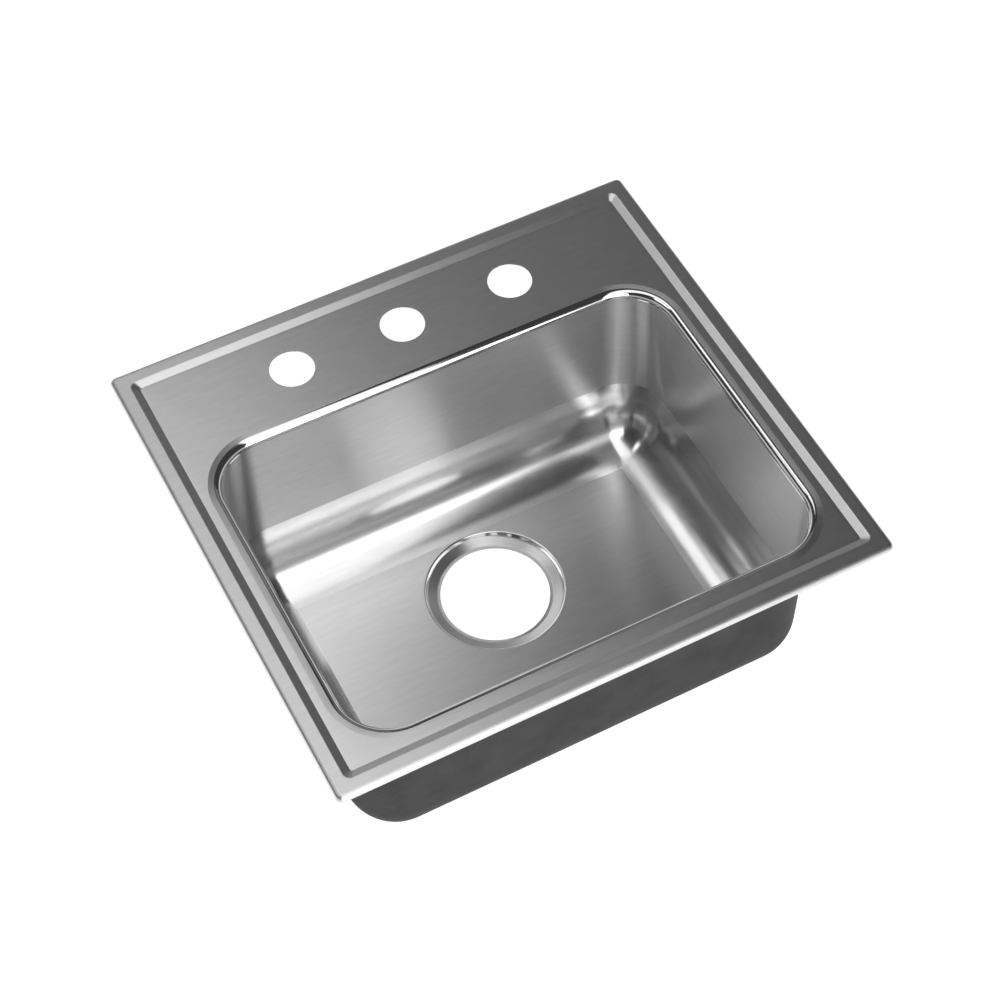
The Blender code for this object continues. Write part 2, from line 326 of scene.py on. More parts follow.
def zinc_plate(colour):
    """Bright zinc plating on pressed steel: cool and slightly clouded, with a fine barrel-plated grain.

    The real grain is about 0.1 mm, and is drawn about three times as coarse so that it shows.
    """
    kind, tree, shader = principled("bright_zinc_plate", colour, 1.0, 0.3)
    place = add_node(tree, "ShaderNodeTexCoord").outputs["Object"]
    cloud_mm, grain_mm = 3.5, 0.35
    cloud = add_node(tree, "ShaderNodeTexNoise", {"Scale": 1000 / cloud_mm, "Detail": 3.0}, Vector=place)
    grain = add_node(tree, "ShaderNodeTexNoise", {"Scale": 1000 / grain_mm, "Detail": 2.0}, Vector=place)
    clouded = {"From Min": 0.35, "From Max": 0.65, "To Min": 0.78, "To Max": 1.08}
    tone = add_node(tree, "ShaderNodeMapRange", clouded, Value=cloud.outputs[0])
    shade = add_node(tree, "ShaderNodeVectorMath", {"operation": "SCALE", 0: colour[:3]},
                     Scale=tone.outputs[0])
    tree.links.new(shade.outputs[0], shader.inputs["Base Color"])
    dulled = {"From Min": 0.3, "From Max": 0.7, "To Min": 0.24, "To Max": 0.42}
    dull = add_node(tree, "ShaderNodeMapRange", dulled, Value=cloud.outputs[0])
    tree.links.new(dull.outputs[0], shader.inputs["Roughness"])
    bump = add_node(tree, "ShaderNodeBump", {"Strength": 0.3, "Distance": 0.02 * MM},
                    Height=grain.outputs[0])
    tree.links.new(bump.outputs[0], shader.inputs["Normal"])
    return kind


# ---------------------------------------------------------------- settings

def length(name, millimetres, description):
    """A length that a user may change, given in millimetres."""
    return FloatProperty(name=name, description=description, default=millimetres * MM, unit="LENGTH",
                         precision=4)


class SinkSizes(PropertyGroup):
    sheet: length("Sheet", 1.2, "Thickness of the stainless sheet")
    corner: length("Outer corner", 6.0, "Plan radius of the rim's outer corners")
    edge_roll: length("Edge roll", 4.3, "Radius of the turned-down outer edge")
    step_top: length("Step top", 13.5, "From the outer edge to the top of the step")
    step_foot: length("Step foot", 20.0, "From the outer edge to the foot of the step")
    deck: length("Deck", 2.5, "Height of the sunken deck over the worktop")
    foot_dip: length("Foot dip", 0.12, "How far the crease at the step's foot lies under the deck")
    lead_in: length("Lead-in", 0.25, "How far the deck droops before the bend")
    opening_x: length("Opening width", 419.1, "Width of the bowl's opening")
    opening_y: length("Opening depth", 304.8, "Front to back size of the bowl's opening")
    front_ledge: length("Front ledge", 31.75, "From the front edge to the opening")
    opening_corner: length("Opening corner", 48.0, "Plan radius of the opening's corners")
    bend: length("Bend", 6.1, "Radius of the bend between deck and bowl")
    side_draft: length("Side draft", 0.5, "How far each side wall leans in")
    front_draft: length("Front draft", 4.5, "How far the front and back walls lean in")
    cove: length("Cove", 43.0, "Radius between walls and floor")
    buffed: length("Buffed zone", 66.0, "How far up the walls the softer finish of the coves reaches")
    floor_depth: length("Floor depth", 185.0, "From the deck down to the floor")
    drain_y: length("Drain place", -1.0, "Middle of the drain, front to back")
    drain_rim: length("Drain rim", 60.5, "Radius of the drain recess")
    drain_cone: length("Drain cone", 58.5, "Radius at the top of the dished ring")
    drain_seat: length("Drain seat", 50.6, "Radius at the outside of the flat seat")
    drain_hole: length("Drain hole", 47.6, "Radius of the drain hole")
    drain_step: length("Drain step", 3.5, "Depth of the recess's steep edge")
    drain_depth: length("Drain depth", 6.5, "Depth of the whole recess")
    faucet_hole: length("Faucet hole", 19.05, "Radius of each faucet hole")
    faucet_spacing: length("Faucet spacing", 101.6, "Between the faucet holes' middles")
    faucet_y: length("Faucet place", 162.5, "Row of the faucet holes, front to back")
    coat: length("Coat", 1.5, "Thickness of the sound-deadening coat")
    coat_gap: length("Coat gap", 0.3, "Between sheet and coat")
    coat_top: length("Coat top", 12.0, "Depth under the deck where the coat starts")
    coat_drain: length("Coat opening", 63.5, "Radius left bare round the drain")


class FixingSizes(PropertyGroup):
    rail_wall: length("Channel wall", 1.2, "Thickness of the channels' steel")
    rail_slot: length("Channel slot", 5.6, "Width of the slot that the bolts slide in")
    rail_bend: length("Channel bend", 1.4, "Outer radius of the channels' bends")
    weld_step: length("Weld spacing", 32.0, "Between the spot welds inside a channel")
    shank: length("Bolt radius", 2.4, "Radius over the crests of the bolt's thread")
    pitch: length("Thread pitch", 25.4 / 24, "Rise of the thread in one turn: 24 to the inch")
    thread_depth: length("Thread depth", 0.42, "From crest to root")
    head: length("Bolt head", 2.5, "Thickness of the bolt's T head")
    head_x: length("Head length", 9.0, "Length of the T head along the channel")
    head_y: length("Head width", 7.4, "Width of the T head across the channel")
    bore: length("Nut bore", 2.47, "Radius of the nut's tapped hole")
    washer_bore: length("Washer bore", 2.75, "Radius of the hole in washer and clamp")
    clamp_sheet: length("Clamp sheet", 2.0, "Thickness of the clamps' steel")
    clamp_bend: length("Clamp bend", 2.6, "Outer radius where a clamp's toe turns up")
    heel: length("Clamp heel", 6.5, "From the bolt to the clamp's heel")
    bead: length("Clamp bead", 0.7, "Height of the stiffening bead pressed along a clamp")
    tooth: length("Clamp tooth", 1.1, "Depth of the teeth along a clamp's toe")


def tint(name, hex_colour, description):
    """A colour that a user may change, given as sRGB hex."""
    return FloatVectorProperty(name=name, description=description, default=linear(hex_colour)[:3], size=3,
                               subtype="COLOR", min=0.0, max=1.0)


class SinkColours(PropertyGroup):
    brushed: tint("Brushed steel", "#DEDEDE", "Stainless steel of rim, walls and floor")
    # Lighter than the brushed steel: the difference is painted highlight for the bright bands on the bend
    # and in the coves.
    buffed: tint("Buffed steel", "#F0F0F0", "Stainless steel of the bend, the coves and the walls' foot")
    coat: tint("Coat", "#2B2B2B", "Sound-deadening coat on the bowl's outside")
    zinc: tint("Zinc", "#C3C7CC", "Plating on channels and clips")


def in_mm(group):
    """A property group's lengths in millimetres."""
    return type("Sizes", (), {key: getattr(group, key) / MM for key in group.__annotations__})


# ---------------------------------------------------------------- sheet

def rim_ring(work, s, inset, z):
    """One ring of the rim. Its corners shrink over the rolled edge, and tighten down the step."""
    rolled_corner, tighter = 1.7, 4.0
    share = min(max((inset - s.step_top) / (s.step_foot - s.step_top), 0), 1)
    if inset < s.edge_roll + 1:
        radius = max(s.corner - inset, rolled_corner)
    else:
        radius = s.corner - tighter * share
    return add_loop(work, rounded_rectangle(WIDTH / 2 - inset, DEPTH / 2 - inset, radius, z, 0))


def bowl_ring_points(s, inset, depth):
    """One ring of the bowl. The walls lean in on the way down to the coves, which lean no further."""
    least_corner = 2.0
    wall_foot, tall = s.floor_depth - s.cove, s.floor_depth - s.bend
    drawn = min(max((depth - s.bend) / tall, 0), (wall_foot - s.bend) / tall)
    half_x = s.opening_x / 2 - inset - s.side_draft * drawn
    half_y = s.opening_y / 2 - inset - s.front_draft * drawn
    middle = -DEPTH / 2 + s.front_ledge + s.opening_y / 2
    corner = max(s.opening_corner - inset, least_corner)
    return rounded_rectangle(half_x, half_y, corner, s.deck - depth, middle)


def map_round(work, loops, faces):
    """Grain that runs round the rings: across is measured down the profile, along on the first ring."""
    grain = work.loops.layers.uv.get("grain") or work.loops.layers.uv.new("grain")
    down = [0.0]
    for one, other in zip(loops, loops[1:]):
        down.append(down[-1] + (one[0].co - other[0].co).length)
    first = loops[0]
    along = [0.0]
    for i in range(len(first)):
        along.append(along[-1] + (first[(i + 1) % len(first)].co - first[i].co).length)
    count = len(first)
    for k, face in enumerate(faces):
        ring, i = divmod(k, count)
        for corner, (r, c) in zip(face.loops, ((ring, i), (ring, i + 1), (ring + 1, i + 1), (ring + 1, i))):
            corner[grain].uv = (down[r], along[c])


def map_flat(work, faces):
    """Grain that runs along X."""
    grain = work.loops.layers.uv.get("grain") or work.loops.layers.uv.new("grain")
    for face in faces:
        for corner in face.loops:
            corner[grain].uv = (corner.vert.co.y, corner.vert.co.x)


def finish_rings(loops, faces, start, end, finish):
    """Gives the strips from the start loop to the end loop this material slot."""
    count = len(loops[0])
    for face in faces[start * count:end * count]:
        face.material_index = finish


def draw_rim(work, s):
    """The turned-down edge, the raised flat and the step down to the deck. Returns the inner loop."""
    brow, foot, crease = 3.0, 1.2, 2.6
    profile = rounded_profile(
        [(0, 0), (0, RIM_TOP), (s.step_top, RIM_TOP), (s.step_foot, s.deck - s.foot_dip),
         (s.step_foot + crease, s.deck)],
        [(s.edge_roll, 8), (brow, 4), (foot, 3)],
    )
    loops = [rim_ring(work, s, inset, z) for inset, z in profile]
    map_flat(work, add_strip(work, loops))
    return loops[-1]


def draw_bowl(work, s):
    """The deck's droop, the polished bend, the walls and the coves. Returns the first and last loops."""
    droop_start, droop_middle, droop_radius = -5.0, -2.5, 60.0
    droop_steps, bend_steps, cove_steps = 6, 10, 18
    profile = rounded_profile(
        [(droop_start, 0), (droop_middle, 0), (s.bend, s.lead_in), (s.bend, s.floor_depth),
         (s.bend + s.cove + FLOOR_MARGIN, s.floor_depth)],
        [(droop_radius, droop_steps), (s.bend, bend_steps), (s.cove, cove_steps)],
    )
    bend_start = 1 + arc_points(droop_steps)
    bend_end = bend_start + arc_points(bend_steps)
    profile.insert(bend_end, (s.bend, s.floor_depth - s.buffed))
    loops = [add_loop(work, bowl_ring_points(s, inset, depth)) for inset, depth in profile]
    faces = add_strip(work, loops)
    map_round(work, loops, faces)
    finish_rings(loops, faces, bend_start, bend_end - 1, POLISHED)
    finish_rings(loops, faces, bend_end, len(loops), BUFFED)
    return loops[0], loops[-1]


def draw_drain(work, s, floor_loop):
    """The flat of the floor, and the drain's polished edge, dished ring and seat round its open hole."""
    margin, edge, edge_steps, foot, dish = 1.5, 1.2, 4, 1.5, 4.0
    profile = rounded_profile(
        [(s.drain_rim + margin, 0), (s.drain_rim, 0), (s.drain_cone, -s.drain_step),
         (s.drain_seat, -s.drain_depth), (s.drain_hole, -s.drain_depth)],
        [(edge, edge_steps), (foot, 4), (dish, 3)],
        hold=0.15,
    )
    floor = s.deck - s.floor_depth
    loops = [add_loop(work, circle(radius, floor + z, s.drain_y)) for radius, z in profile]
    map_flat(work, add_strip(work, [floor_loop, loops[0]]))
    faces = add_strip(work, loops)
    map_round(work, loops, faces)
    finish_rings(loops, faces, 1, 1 + arc_points(edge_steps), POLISHED)


def draw_faucet_holes(work, s):
    """A narrow collar round each faucet hole. Returns the collars' outer loops."""
    collar, outer = 0.8, []
    for side in (-1, 0, 1):
        rings = []
        for radius in (s.faucet_hole + collar, s.faucet_hole):
            points = circle(radius, s.deck, 0)
            moved = [(x + side * s.faucet_spacing, y + s.faucet_y, z) for x, y, z in points]
            rings.append(add_loop(work, moved))
        map_flat(work, add_strip(work, rings))
        outer.append(rings[0])
    return outer


def fill_deck(work, bounds):
    """The flat of the deck, between the loops that bound it."""
    edges = []
    for loop in bounds:
        edges += [work.edges.get((loop[i], loop[(i + 1) % len(loop)])) for i in range(len(loop))]
    fill = bmesh.ops.triangle_fill(work, edges=edges, use_beauty=True, normal=(0, 0, 1))["geom"]
    deck = [item for item in fill if isinstance(item, bmesh.types.BMFace)]
    for face in deck:
        face.smooth = True
    map_flat(work, deck)


class SINK_OT_shell(Operator):
    """Draws the stainless sheet: rim, deck, faucet ledge, bowl and drain recess in one piece"""

    bl_idname = "sink.shell"
    bl_label = "Sink shell"

    def execute(self, context):
        s = in_mm(context.scene.sink_sizes)
        work = bmesh.new()
        rim_loop = draw_rim(work, s)
        opening_loop, floor_loop = draw_bowl(work, s)
        draw_drain(work, s, floor_loop)
        fill_deck(work, [rim_loop, opening_loop, *draw_faucet_holes(work, s)])
        bmesh.ops.recalc_face_normals(work, faces=work.faces)
        if max(work.faces, key=lambda face: face.calc_area()).normal.z < 0:
            bmesh.ops.reverse_faces(work, faces=work.faces)

        tints = context.scene.sink_colours
        # The three stand in the order of SATIN, POLISHED and BUFFED. The last two take the lighter tint, a
        # painted highlight on the bend, the drain's edge and the coves.
        kinds = [satin_steel(tints.brushed), polished_steel_and_highlight(tints.buffed), buffed_steel_and_highlight(tints.buffed)]
        shell = to_object(work, "sink_sheet", kinds)
        harden(shell, s.sheet, angle=60)
        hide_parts("sink_shell")
        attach(shell, "root")
        return {"FINISHED"}


# ---------------------------------------------------------------- coat

class SINK_OT_coat(Operator):
    """Sprays the sound-deadening coat on the bowl's outside, open round the drain"""

    bl_idname = "sink.coat"
    bl_label = "Undercoat"

    def execute(self, context):
        s = in_mm(context.scene.sink_sizes)
        out = s.sheet + s.coat_gap + s.coat
        wall, under = s.bend - out, s.floor_depth + out
        profile = rounded_profile(
            [(wall, s.coat_top), (wall, under), (s.bend + s.cove + FLOOR_MARGIN, under)],
            [(s.cove + out, 20)],
        )
        work = bmesh.new()
        loops = [add_loop(work, bowl_ring_points(s, inset, depth)) for inset, depth in profile]
        floor = s.deck - s.floor_depth - out
        loops.append(add_loop(work, circle(s.drain_hole, floor, s.drain_y)))
        add_strip(work, loops)
        bmesh.ops.recalc_face_normals(work, faces=work.faces)
        if min(work.faces, key=lambda face: face.calc_center_median().z).normal.z > 0:
            bmesh.ops.reverse_faces(work, faces=work.faces)
        coat = to_object(work, "sprayed_coat", [sprayed_coat(context.scene.sink_colours.coat)])
        harden(coat, s.coat, punch=round_punch(s.coat_drain, s.drain_y, floor), edge=0.5)
        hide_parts("undercoat")
        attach(coat, "root")
        return {"FINISHED"}


# ---------------------------------------------------------------- fixings

CLIPS = (
    "front_left", "front_right", "right_front", "right_back",
    "back_right", "back_left", "left_back", "left_front",
)
RAILS = ("front", "back", "left", "right")


def zinc(context):
    """The one plating that channels and clips share."""
    return bpy.data.materials.get("bright_zinc_plate") or zinc_plate(context.scene.sink_colours.zinc)


def new_tree(name, inputs):
    """An empty geometry tree with named inputs, and the group nodes at its ends."""
    tree = bpy.data.node_groups.new(name, "GeometryNodeTree")
    for label, kind in inputs:
        tree.interface.new_socket(label, in_out="INPUT", socket_type=kind)
    tree.interface.new_socket("Geometry", in_out="OUTPUT", socket_type="NodeSocketGeometry")
    return tree, add_node(tree, "NodeGroupInput").outputs


def close_tree(tree, geometry, given):
    """Ends a tree in plain faces with their material."""
    plain = add_node(tree, "GeometryNodeRealizeInstances", Geometry=geometry)
    clad = add_node(tree, "GeometryNodeSetMaterial", Geometry=plain.outputs[0], Material=given["Material"])
    add_node(tree, "NodeGroupOutput", Geometry=clad.outputs[0])


def grown(tree, values):
    """The mesh that a geometry tree makes from these values."""
    holder = bpy.data.objects.new(tree.name, bpy.data.meshes.new(tree.name))
    bpy.context.scene.collection.objects.link(holder)
    run = holder.modifiers.new("grow", "NODES")
    run.node_group = tree
    for item in tree.interface.items_tree:
        if item.in_out == "INPUT":
            run[item.identifier] = values[item.name]
    bpy.context.view_layer.update()
    graph = bpy.context.evaluated_depsgraph_get()
    mesh = bpy.data.meshes.new_from_object(holder.evaluated_get(graph), depsgraph=graph)
    bpy.data.objects.remove(holder)
    return mesh


def thread_tree():
    """An outside thread about Z: a grid sheared by one pitch a turn, so that crests follow its edges."""
    numbers = [(label, "NodeSocketFloat") for label in ("Radius", "Depth", "Pitch", "Length")]
    others = [("Around", "NodeSocketInt"), ("Material", "NodeSocketMaterial")]
    tree, given = new_tree("bolt_thread", [*numbers, *others])
    point = add_node(tree, "GeometryNodeInputPosition")
    place = add_node(tree, "ShaderNodeSeparateXYZ", i0=point.outputs[0])
    known = {label: given[label] for label in ("Radius", "Depth", "Pitch", "Length", "Around")}
    known.update(across=place.outputs[0], up=place.outputs[1])
    sums = (
        # Name, operation and inputs: first the grid's own size, then each point's turn, height and radius.
        # Four rows of points make one pitch: two along the crest and two along the root.
        ("turns", "DIVIDE", "Length", "Pitch"),
        ("whole turns", "CEIL", "turns"),
        ("spaces", "MULTIPLY_ADD", "whole turns", 4.0, 4.0),
        ("rows", "ADD", "spaces", 1.0),
        ("columns", "ADD", "Around", 1.0),
        ("turn", "ADD", "across", 0.5),
        ("share up", "ADD", "up", 0.5),
        ("most steps", "DIVIDE", "spaces", 4.0),
        ("step", "MULTIPLY", "share up", "most steps"),
        ("sheared", "ADD", "step", "turn"),
        ("lowered", "SUBTRACT", "sheared", 1.0),
        ("height", "MULTIPLY", "lowered", "Pitch"),
        ("above start", "MAXIMUM", "height", 0.0),
        ("held", "MINIMUM", "above start", "Length"),
        ("shifted", "ADD", "step", 0.125),
        ("phase", "FRACT", "shifted"),
        ("root", "LESS_THAN", "phase", 0.5),
        ("past", "SUBTRACT", "height", "held"),
        ("how far past", "ABSOLUTE", "past"),
        ("ended", "GREATER_THAN", "how far past", 0.0001),
        ("low", "MAXIMUM", "root", "ended"),
        ("sunk", "MULTIPLY", "low", "Depth"),
        ("radius", "SUBTRACT", "Radius", "sunk"),
        ("angle", "MULTIPLY", "turn", math.tau),
        ("cosine", "COSINE", "angle"),
        ("sine", "SINE", "angle"),
        ("x", "MULTIPLY", "radius", "cosine"),
        ("y", "MULTIPLY", "radius", "sine"),
    )
    for name, operation, *inputs in sums:
        plain = {k: value for k, value in enumerate(inputs) if not isinstance(value, str)}
        linked = {f"i{k}": known[value] for k, value in enumerate(inputs) if isinstance(value, str)}
        step = add_node(tree, "ShaderNodeMath", {"operation": operation, **plain}, **linked)
        known[name] = step.outputs[0]
    grid = add_node(tree, "GeometryNodeMeshGrid", {"Size X": 1.0, "Size Y": 1.0},
                    **{"Vertices X": known["columns"], "Vertices Y": known["rows"]})
    wound = add_node(tree, "ShaderNodeCombineXYZ", X=known["x"], Y=known["y"], Z=known["held"])
    moved = add_node(tree, "GeometryNodeSetPosition", Geometry=grid.outputs[0], Position=wound.outputs[0])
    joined = add_node(tree, "GeometryNodeMergeByDistance", {"Distance": 0.01}, Geometry=moved.outputs[0])
    close_tree(tree, joined.outputs[0], given)
    return tree


def weld_tree():
    """A row of shallow spot-weld nuggets along X."""
    numbers = [(label, "NodeSocketFloat") for label in ("Start", "Step", "Width", "Height")]
    others = [("Count", "NodeSocketInt"), ("Material", "NodeSocketMaterial")]
    tree, given = new_tree("spot_welds", [*numbers, *others])
    start = add_node(tree, "ShaderNodeCombineXYZ", X=given["Start"])
    step = add_node(tree, "ShaderNodeCombineXYZ", X=given["Step"])
    row = add_node(tree, "GeometryNodeMeshLine", Count=given["Count"], Offset=step.outputs[0],
                   **{"Start Location": start.outputs[0]})
    ball = add_node(tree, "GeometryNodeMeshUVSphere", {"Segments": 20, "Rings": 10, "Radius": 1.0})
    flat = add_node(tree, "ShaderNodeCombineXYZ", X=given["Width"], Y=given["Width"], Z=given["Height"])
    set_down = add_node(tree, "GeometryNodeInstanceOnPoints", Points=row.outputs[0],
                        Instance=ball.outputs[0], Scale=flat.outputs[0])
    close_tree(tree, set_down.outputs[0], given)
    return tree


class SINK_OT_rails(Operator):
    """Folds the four channels under the ledges, with their spot welds"""

    bl_idname = "sink.rails"
    bl_label = "Channels"

    def execute(self, context):
        f = in_mm(context.scene.fixing_sizes)
        nugget, proud = 1.9, 0.3
        tree = weld_tree()
        for side in RAILS:
            low, high = [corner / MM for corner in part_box(f"rail_{side}")]
            along_x = high.x - low.x > high.y - low.y
            reach = max(high.x - low.x, high.y - low.y)
            width, tall = min(high.x - low.x, high.y - low.y), high.z - low.z
            half, web = (width - f.rail_wall) / 2, -f.rail_wall / 2
            lip, bend = f.rail_wall / 2 - tall, f.rail_bend - f.rail_wall / 2
            section = rounded_profile(
                [(f.rail_slot / 2, lip), (half, lip), (half, web),
                 (-half, web), (-half, lip), (-f.rail_slot / 2, lip)],
                [(bend, 4)] * 4, hold=0.1,
            )
            work = bmesh.new()
            ends = [[work.verts.new((x, y, z)) for y, z in section] for x in (-reach / 2, reach / 2)]
            for k in range(len(section) - 1):
                work.faces.new((ends[0][k], ends[0][k + 1], ends[1][k + 1], ends[1][k])).smooth = True
            bmesh.ops.recalc_face_normals(work, faces=work.faces)
            rail = to_object(work, f"channel_{side}", [zinc(context)])
            harden(rail, f.rail_wall, middle=True)
            count = int(reach / f.weld_step)
            welds = grown(tree, {
                "Start": -(count - 1) * f.weld_step / 2, "Step": f.weld_step, "Width": nugget,
                "Height": proud, "Count": count, "Material": zinc(context),
            })
            welds.transform(Matrix.Scale(MM, 4) @ Matrix.Translation((0, 0, -f.rail_wall)))
            middle = (low + high) / 2 * MM
            place = Matrix.Translation((middle.x, middle.y, high.z * MM))
            place @= Matrix.Rotation(0 if along_x else math.pi / 2, 4, "Z")
            both = bmesh.new()
            both.from_mesh(rail.data)
            both.from_mesh(welds)
            both.transform(place)
            both.to_mesh(rail.data)
            both.free()
            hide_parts(f"rail_{side}")
            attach(rail, "root")
        return {"FINISHED"}


def stand_copies(template, kind, name, material):
    """One copy of a template for each clip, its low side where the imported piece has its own."""
    for clip in CLIPS:
        bolt_low, bolt_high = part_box(f"bolt_{clip}")
        arm_low, arm_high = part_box(f"clamp_{clip}")
        reach = (arm_low + arm_high) - (bolt_low + bolt_high)
        turn = round(math.atan2(reach.y, reach.x) / (math.pi / 2)) * math.pi / 2
        middle = (bolt_low + bolt_high) / 2
        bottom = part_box(f"{kind}_{clip}")[0].z
        mesh = template.data.copy()
        mesh.transform(Matrix.Translation((middle.x, middle.y, bottom)) @ Matrix.Rotation(turn, 4, "Z"))
        piece = bpy.data.objects.new(f"{name}_{clip}", mesh)
        mesh.materials.clear()
        mesh.materials.append(material)
        bpy.context.scene.collection.objects.link(piece)
        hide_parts(f"{kind}_{clip}")
        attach(piece, f"{kind}_{clip}")
    bpy.data.objects.remove(template)


def turned(work, outline, around):
    """An outline turned about Z, closed on itself. outline(angle) gives its (radius, z) points."""
    columns = []
    for k in range(around):
        angle = k / around * math.tau
        points = [(r * math.cos(angle), r * math.sin(angle), z) for r, z in outline(angle)]
        columns.append(add_loop(work, points))
    add_strip(work, [*columns, columns[0]])
    bmesh.ops.recalc_face_normals(work, faces=work.faces)


class SINK_OT_bolts(Operator):
    """Makes the T-headed bolts with their cut threads"""

    bl_idname = "sink.bolts"
    bl_label = "Bolts"

    def execute(self, context):
        f = in_mm(context.scene.fixing_sizes)
        low, high = [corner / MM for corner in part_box(f"bolt_{CLIPS[0]}")]
        point, narrowed, sunk, eased = 0.9, 0.72, 0.3, 0.55
        shank = high.z - low.z - f.head
        thread = grown(thread_tree(), {
            "Radius": f.shank, "Depth": f.thread_depth, "Pitch": f.pitch,
            "Length": shank - point + sunk, "Around": 24, "Material": zinc(context),
        })
        thread.transform(Matrix.Translation((0, 0, point)))
        work = bmesh.new()
        work.from_mesh(thread)
        open_ends = [vert for vert in work.verts if vert.is_boundary]
        open_ends.sort(key=lambda vert: math.atan2(vert.co.y, vert.co.x))
        top = [vert for vert in open_ends if vert.co.z > shank / 2]
        bottom = [vert for vert in open_ends if vert.co.z <= shank / 2]
        tip = add_loop(work, [(vert.co.x * narrowed, vert.co.y * narrowed, 0) for vert in bottom])
        add_strip(work, [bottom, tip])
        work.faces.new(top)
        work.faces.new(tip)
        block = bmesh.ops.create_cube(work, size=1.0)["verts"]
        bmesh.ops.scale(work, verts=block, vec=(f.head_x, f.head_y, f.head))
        bmesh.ops.translate(work, verts=block, vec=(0, 0, shank + f.head / 2))
        edges = [edge for edge in work.edges if edge.verts[0] in block]
        bmesh.ops.bevel(work, geom=edges, offset=eased, segments=3, affect="EDGES", profile=0.5)
        bmesh.ops.recalc_face_normals(work, faces=work.faces)
        bolt = to_object(work, "t_bolt", [zinc(context)])
        bolt.data.shade_smooth()
        bolt.data.set_sharp_from_angle(angle=math.radians(38))
        stand_copies(bolt, "bolt", "t_bolt", zinc(context))
        return {"FINISHED"}


class SINK_OT_nuts(Operator):
    """Makes the hexagon nuts, chamfered on both faces"""

    bl_idname = "sink.nuts"
    bl_label = "Nuts"

    def execute(self, context):
        f = in_mm(context.scene.fixing_sizes)
        low, high = [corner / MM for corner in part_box(f"nut_{CLIPS[0]}")]
        tall = high.z - low.z
        flat = min(high.x - low.x, high.y - low.y) / 2
        face, slope, flare = 0.96 * flat, 1.75, 0.45

        def outline(angle):
            """The hexagon's side at this angle, cut back to a cone at both faces, and the flared bore."""
            corner = flat / math.cos((angle + math.pi / 6) % (math.pi / 3) - math.pi / 6)
            levels = (0, 0.12, 0.24, 0.36, 0.5, 0.7)
            rise = [(min(corner, face + slope * level), level) for level in levels]
            side = rise + [(radius, tall - level) for radius, level in reversed(rise)]
            mouth = f.bore + flare
            return side + [(mouth, tall), (f.bore, tall - flare), (f.bore, flare), (mouth, 0)]

        work = bmesh.new()
        turned(work, outline, 72)
        nut = to_object(work, "nut", [zinc(context)])
        nut.data.set_sharp_from_angle(angle=math.radians(25))
        stand_copies(nut, "nut", "hex_nut", zinc(context))
        return {"FINISHED"}


class SINK_OT_washers(Operator):
    """Makes the round washers, punched, with one soft and one sharp edge"""

    bl_idname = "sink.washers"
    bl_label = "Washers"

    def execute(self, context):
        f = in_mm(context.scene.fixing_sizes)
        low, high = [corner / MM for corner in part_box(f"washer_{CLIPS[0]}")]
        tall, edge = high.z - low.z, (high.x - low.x) / 2
        soft, burr = 0.35, 0.08
        round_in = [k / 4 * math.pi / 2 for k in range(5)]
        bore = f.washer_bore
        profile = [(edge - soft + soft * math.cos(a), soft - soft * math.sin(a)) for a in reversed(round_in)]
        profile += [(edge, tall - burr), (edge - burr, tall), (bore + burr, tall), (bore, tall - burr)]
        profile += [(bore + soft - soft * math.cos(a), soft - soft * math.sin(a)) for a in round_in]
        work = bmesh.new()
        turned(work, lambda angle: profile, 64)
        washer = to_object(work, "washer", [zinc(context)])
        washer.data.set_sharp_from_angle(angle=math.radians(38))
        stand_copies(washer, "washer", "flat_washer", zinc(context))
        return {"FINISHED"}


class SINK_OT_clamps(Operator):
    """Presses the clamps: a flat arm with a stiffening bead, a hole and a turned-up toothed toe"""

    bl_idname = "sink.clamps"
    bl_label = "Clamps"

    def execute(self, context):
        f = in_mm(context.scene.fixing_sizes)
        low, high = [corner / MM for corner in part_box(f"clamp_{CLIPS[0]}")]
        reach, width, tall = high.x - low.x - f.heel, high.y - low.y, high.z - low.z
        half = f.clamp_sheet / 2
        toe = reach - half
        arc = arc_corner((-f.heel, half), (toe, half), (toe, tall), f.clamp_bend - half, 8, 0.2)
        arm_steps, columns, tooth_columns = 36, 20, 4
        run = [(-f.heel + (arc[0][0] + f.heel) * k / arm_steps, half) for k in range(arm_steps)] + arc
        run += [(toe, tall - f.tooth), (toe, tall)]
        corner, bead_start, bead_end, bead_fade, bead_half = 3.0, 7.0, reach - 4.5, 3.5, 2.6
        work = bmesh.new()
        rows = []
        for k, (x, z) in enumerate(run):
            row = []
            for c in range(columns + 1):
                y = (c / columns - 0.5) * width
                # The heel's corners are rounded in plan.
                past = max(abs(y) - (width / 2 - corner), 0)
                back = -f.heel + corner - math.sqrt(corner ** 2 - past ** 2)
                at = max(x, back) if x < -f.heel + corner + 0.5 else x
                # The bead swells from the arm between the hole and the toe, and fades out at its ends.
                ahead, behind = (x - bead_start) / bead_fade, (bead_end - x) / bead_fade
                along = min(max(ahead, 0), 1) * min(max(behind, 0), 1)
                swell = f.bead * (math.cos(min(abs(y) / bead_half, 1) * math.pi) + 1) / 2 * along
                # The teeth are notches cut down from the toe's edge.
                at_edge, half_tooth = k == len(run) - 1, tooth_columns // 2
                notch = f.tooth * abs(c % tooth_columns - half_tooth) / half_tooth if at_edge else 0
                row.append(work.verts.new((at, y, z + swell - notch)))
            rows.append(row)
        for one, other in zip(rows, rows[1:]):
            for c in range(columns):
                work.faces.new((one[c], one[c + 1], other[c + 1], other[c])).smooth = True
        bmesh.ops.remove_doubles(work, verts=work.verts, dist=0.02)
        bmesh.ops.recalc_face_normals(work, faces=work.faces)
        clamp = to_object(work, "clamp", [zinc(context)])
        harden(clamp, f.clamp_sheet, middle=True, punch=round_punch(f.washer_bore), edge=0.15, angle=50)
        stand_copies(clamp, "clamp", "toothed_clamp", zinc(context))
        return {"FINISHED"}


# ---------------------------------------------------------------- stage

